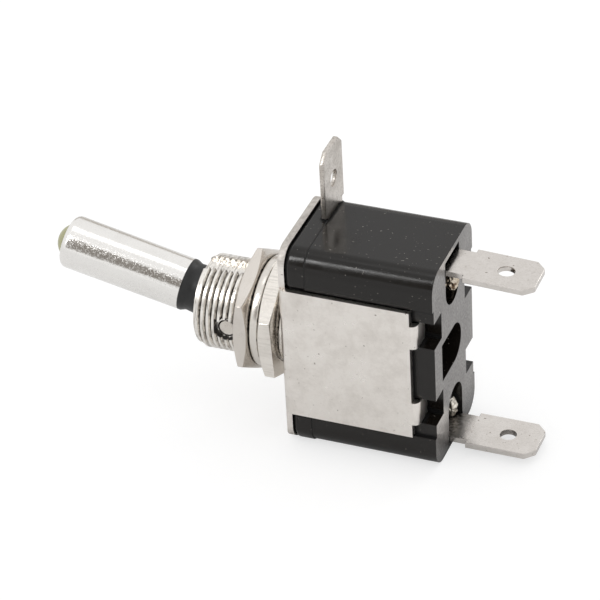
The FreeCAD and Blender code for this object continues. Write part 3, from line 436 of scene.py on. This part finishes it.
swept = add(groove, "GeometryNodeCurveToMesh",
            {"Curve": upright.outputs[0], "Profile Curve": profile.outputs[0], "Fill Caps": True})
laid = add(groove, "GeometryNodeTransform",
           {"Geometry": swept.outputs[0], "Rotation": (0, math.pi / 2, 0)})
shift = add(groove, "ShaderNodeCombineXYZ", {0: entry.outputs["Front"]})
moved = add(groove, "GeometryNodeTransform",
            {"Geometry": laid.outputs[0], "Translation": shift.outputs[0]})
merged = add(groove, "GeometryNodeMergeByDistance",
             {"Geometry": moved.outputs[0], "Distance": MERGE_GAP})
real = add(groove, "GeometryNodeRealizeInstances", {"Geometry": merged.outputs[0]})
coated = add(groove, "GeometryNodeSetMaterial", {"Geometry": real.outputs[0], "Material": brass})
add(groove, "NodeGroupOutput", {0: coated.outputs[0]})


def applied(piece):
    """Apply a piece's modifiers to its mesh, and remove them."""
    ready = piece.evaluated_get(bpy.context.evaluated_depsgraph_get())
    piece.data = bpy.data.meshes.new_from_object(ready)
    piece.modifiers.clear()


def resize(piece, factor):
    """Scale the points of a piece's own mesh."""
    for point in piece.data.vertices:
        point.co *= factor


cutter = bpy.data.objects.new("thread_cutter", bpy.data.meshes.new("thread_cutter"))
scene.collection.objects.link(cutter)
modifier = cutter.modifiers.new("groove", "NODES")
modifier.node_group = groove
given = {"Pitch": PITCH, "Depth": THREAD_DEPTH, "Radius": THREAD_RADIUS, "Front": THREAD_FRONT,
         "Rear": THREAD_REAR}
for item in groove.interface.items_tree:
    if item.name in given:
        modifier[item.identifier] = float(given[item.name])
applied(cutter)
bushing = bpy.data.objects.new("bushing_with_thread", nodes["threaded_bushing"].data.copy())
scene.collection.objects.link(bushing)
ease(bushing)
applied(bushing)
resize(bushing, 1 / MM)
cut = bushing.modifiers.new("thread", "BOOLEAN")
cut.operation = "DIFFERENCE"
cut.solver = "EXACT"
cut.object = cutter
applied(bushing)
resize(bushing, MM)
bpy.data.objects.remove(cutter)
smooth = bushing.modifiers.new("smooth", "NODES")
smooth.node_group = smooth_tree
wear(bushing, brass)

# Painted shade: faces on the wall of the round window over the pin take a near black material, which shows
# as a crescent.
WINDOW_RADIUS = 1.5
WINDOW_MARGIN = 0.05
PIN_LOW, PIN_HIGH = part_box("pivot_pin")
pin_middle = (PIN_LOW + PIN_HIGH) / 2
painted_shade, tree, out = new_material("window_painted_shade")
shade_paint = add(tree, "ShaderNodeBsdfPrincipled", {"Base Color": linear("#1a1613"), "Roughness": 0.7})
tree.links.new(shade_paint.outputs[0], out.inputs["Surface"])
bushing.data.materials.append(painted_shade)
for face in bushing.data.polygons:
    away = face.center - pin_middle
    level = abs(face.normal.y) < 0.5
    if level and math.hypot(away.x, away.z) < (WINDOW_RADIUS + WINDOW_MARGIN) * MM:
        face.material_index = 1
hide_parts("threaded_bushing")
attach(bushing, "switch_body")

# Nuts and washer: two thin hexagon nuts that run on the thread and clamp the panel, and a
# washer between them with a tongue in the bushing's keyway. All are stamped from steel and
# plated in nickel.
NUT_EDGE = 0.08

# Barrel plating leaves the front nut and the washer a satin grey with few stains. The rear
# nut's flats are brighter and ground: fine lines run along the bushing's axis, drawn coarser
# than the real few hundredths of a millimetre so that they show.
satin_nut = plated_metal("nickel_plated_steel", "#d3cdc6", 0.24, stain_share=0.15, pale_share=0.1)
satin_washer = plated_metal("nickel_plated_spring_steel", "#dad5ce", 0.24, stain_share=0.15,
                            pale_share=0.1)
ground_nut = plated_metal("ground_nickel_plated_steel", "#e8e3dc", 0.18, stain_share=0.2,
                          pale_share=0.1, grain=0.008, stretch=(0.06, 1, 1), scored=0.14)
for name, finish in (("front_nut", satin_nut), ("rear_nut", ground_nut), ("lock_washer", satin_washer)):
    wear(nodes[name], finish)
    ease(nodes[name], NUT_EDGE)

# Lever sleeve: a drawn metal tube with a bright plate, pushed over the stem. It is slightly
# wider at its front, where a lip holds the lamp.

# Bright plate: almost a mirror, lightly scuffed. Its small pits are drawn coarser than real,
# at 0.2 mm, so that they break up the dark stripe that it reflects.
bright_tube = plated_metal("bright_plated_tube", "#ebe9e6", 0.14, stain_share=0.1, grain=0.009,
                           grain_size=0.2, pits=0.14)
wear(nodes["lever_sleeve"], bright_tube)
ease(nodes["lever_sleeve"])

# Lever stem: one moulding of black nylon, a tube inside the sleeve with a waist and a ball
# that turns on the pivot pin. Its tail holds the plunger.

# Nylon from a polished mould: deep black with a soft, even gloss.
nylon, tree, out = new_material("black_nylon")
plastic = add(tree, "ShaderNodeBsdfPrincipled", {"Base Color": linear("#0e0e0e"), "Roughness": 0.4})
tree.links.new(plastic.outputs[0], out.inputs["Surface"])
wear(nodes["lever_stem"], nylon)
ease(nodes["lever_stem"])

# Lamp: clear resin tinted yellow-green, cast round its leads with a dome that stands out of
# the sleeve. Its flange is held behind the sleeve's lip.

# Cast resin: a pale, milky green with a sharp gloss, which lets a little light through.
resin, tree, out = new_material("tinted_lamp_resin")
glass = add(tree, "ShaderNodeBsdfPrincipled",
            {"Base Color": linear("#c2c094"), "Roughness": 0.1, "Transmission Weight": 0.3})
tree.links.new(glass.outputs[0], out.inputs["Surface"])
wear(nodes["lamp"], resin)
ease(nodes["lamp"])

# Blades: tinned brass strip, blanked with a round latch hole and chamfered tips. Two run
# through slots in the housing's rear, and the ground blade stands in the seam.
BLADE_EDGE = 0.12
BLADE_SHADE_REACH = 2.0
ROOT_SHADE_RUN = 2.2

# Tin over rolled brass: satin grey with faint scoring and brown specks, and painted shade where other
# parts stand close. The ground blade is the most worn and stained, and is painted a little darker
# for the dark reflection that it shows. The power blade's root is painted near black, as painted
# shade and a painted dark reflection.
tin = plated_metal("tinned_brass_strip", "#d4cfca", 0.2, stain_share=0.2, pale_share=0.1,
                   scored=0.12, specks=0.7, reach=BLADE_SHADE_REACH)
# Painted dark reflection, with real wear: the ground blade's strip is darker and more stained.
worn_tin_dark_reflection = plated_metal("worn_tinned_strip_dark_reflection", "#ccc6bf", 0.3, stain="#7d756a", stain_share=0.5,
                        grain=0.012, scored=0.4, specks=0.8)
# Painted shade and dark reflection: the power blade's root is darkened towards the housing's rear.
root_shaded_tin = plated_metal("tinned_strip_root_shade", "#d4cfca", 0.2, stain_share=0.2, pale_share=0.1,
                          scored=0.12, specks=0.7, reach=BLADE_SHADE_REACH,
                          dull_and_shade_before=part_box("housing_base")[1][0], fade=ROOT_SHADE_RUN, dull_and_shade_colour="#1f1a16")
for name, finish in (("load_terminal", tin), ("power_terminal", root_shaded_tin), ("ground_terminal", worn_tin_dark_reflection)):
    wear(nodes[name], finish)
    ease(nodes[name], BLADE_EDGE)

# Solder: lumps run by hand into the wells at the two rear blades' roots. They froze rough and
# full of small craters, partly covered with brown flux.

# Sizes in millimetres. The craters of the real lumps are a few tenths wide, and are drawn at
# 0.8 so that they show.
CRATER_SIZE = 0.8
UPPER_LUMPS = 1.2
LOWER_LUMPS = 1.0
lump_tree = bpy.data.node_groups.new("lumpy", "GeometryNodeTree")
lump_tree.interface.new_socket("Geometry", in_out="INPUT", socket_type="NodeSocketGeometry")
lump_tree.interface.new_socket("Depth", in_out="INPUT", socket_type="NodeSocketFloat")
lump_tree.interface.new_socket("Geometry", in_out="OUTPUT", socket_type="NodeSocketGeometry")
entry = add(lump_tree, "NodeGroupInput")
even = add(lump_tree, "GeometryNodeSubdivideMesh", {"Mesh": entry.outputs[0], "Level": 3})
round_lump = add(lump_tree, "GeometryNodeSubdivisionSurface", {"Mesh": even.outputs[0], "Level": 2})
craters = add(lump_tree, "ShaderNodeTexNoise",
              {"Vector": add(lump_tree, "GeometryNodeInputPosition").outputs[0],
               "Scale": 1 / (CRATER_SIZE * MM), "Detail": 5})
dent = add(lump_tree, "ShaderNodeMath", {0: craters.outputs[0], 1: 0.45}, operation="SUBTRACT")
sunk = add(lump_tree, "ShaderNodeMath",
           {0: dent.outputs[0], 1: entry.outputs["Depth"]}, operation="MULTIPLY")
inward = add(lump_tree, "ShaderNodeMath", {0: sunk.outputs[0], 1: -1.0}, operation="MULTIPLY")
push = add(lump_tree, "ShaderNodeVectorMath",
           {0: add(lump_tree, "GeometryNodeInputNormal").outputs[0], "Scale": inward.outputs[0]},
           operation="SCALE")
pushed = add(lump_tree, "GeometryNodeSetPosition",
             {"Geometry": round_lump.outputs[0], "Offset": push.outputs[0]})
soft = add(lump_tree, "GeometryNodeSetShadeSmooth",
           {"Geometry": pushed.outputs[0], "Shade Smooth": True})
add(lump_tree, "NodeGroupOutput", {0: soft.outputs[0]})


def make_lumpy(piece, depth):
    """Turn a plain block into a rough lump, sunk by up to a depth in millimetres."""
    weld = piece.modifiers.new("weld", "WELD")
    weld.merge_threshold = WELD_GAP * MM
    flat = piece.modifiers.new("flat", "DECIMATE")
    flat.decimate_type = "DISSOLVE"
    lumps = piece.modifiers.new("lumpy", "NODES")
    lumps.node_group = lump_tree
    socket = next(item for item in lump_tree.interface.items_tree if item.name == "Depth")
    lumps[socket.identifier] = depth * MM


# Tin-lead solder: bright where it is clean, brown in the hollows where flux has stayed. The
# upper lump has more flux on it.
fluxed_solder = plated_metal("fluxed_solder", "#d6c9b6", 0.3, stain="#5b4026", stain_share=0.5,
                             grain=0.02, grain_size=0.9, scored=0.9)
bright_solder = plated_metal("bright_solder", "#ece7dc", 0.3, stain="#6f5f48", stain_share=0.3,
                             grain=0.02, grain_size=0.9, scored=0.5)
wear(nodes["upper_solder_joint"], fluxed_solder)
make_lumpy(nodes["upper_solder_joint"], UPPER_LUMPS)
wear(nodes["lower_solder_joint"], bright_solder)
make_lumpy(nodes["lower_solder_joint"], LOWER_LUMPS)

# Small metal parts: the steel pivot pin across the bushing, the lamp's tinned leads and the
# two silver rivet heads of the contact. Little of them shows, through the openings.

# Bright steel: pale grey with a soft shine. Tinned wire and silver look like it in the dark.
steel = plated_metal("bright_steel", "#d3cdc5", 0.25)
for name in ("pivot_pin", "long_lamp_lead", "short_lamp_lead", "fixed_contact", "moving_contact"):
    wear(nodes[name], steel)
    ease(nodes[name])

# Plunger spring: a coil of steel wire behind the plunger, on its spigot. A copy stands in for
# the frame's coil, and moves with the lever.
coil = bpy.data.objects.new("pressed_spring", nodes["plunger_spring"].data.copy())
scene.collection.objects.link(coil)
wear(coil, steel)
ease(coil)
applied(coil)
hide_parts("plunger_spring")
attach(coil, "lever")
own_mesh(coil)

# Rocker, plunger and resistor: a copper strip bent to a cradle, the moulded pin that rides
# over it in the lever's tail, and the lamp's small resistor in the stem.
ROCKER_EDGE = 0.05

# Rolled copper: a warm orange-brown metal with a satin face.
copper = plated_metal("rolled_copper", "#b9785a", 0.3)
wear(nodes["rocker_contact"], copper)
ease(nodes["rocker_contact"], ROCKER_EDGE)

# Undyed nylon: milky white with a soft gloss, since light goes a little way into it.
white_nylon, tree, out = new_material("natural_nylon")
plastic = add(tree, "ShaderNodeBsdfPrincipled",
              {"Base Color": linear("#e2dfd3"), "Roughness": 0.4, "Subsurface Weight": 0.1})
tree.links.new(plastic.outputs[0], out.inputs["Surface"])
wear(nodes["plunger"], white_nylon)
ease(nodes["plunger"])

# Baked lacquer: an even, glossy tan.
lacquer, tree, out = new_material("tan_lacquer")
plastic = add(tree, "ShaderNodeBsdfPrincipled", {"Base Color": linear("#c6a577"), "Roughness": 0.3})
tree.links.new(plastic.outputs[0], out.inputs["Surface"])
wear(nodes["resistor"], lacquer)
ease(nodes["resistor"])
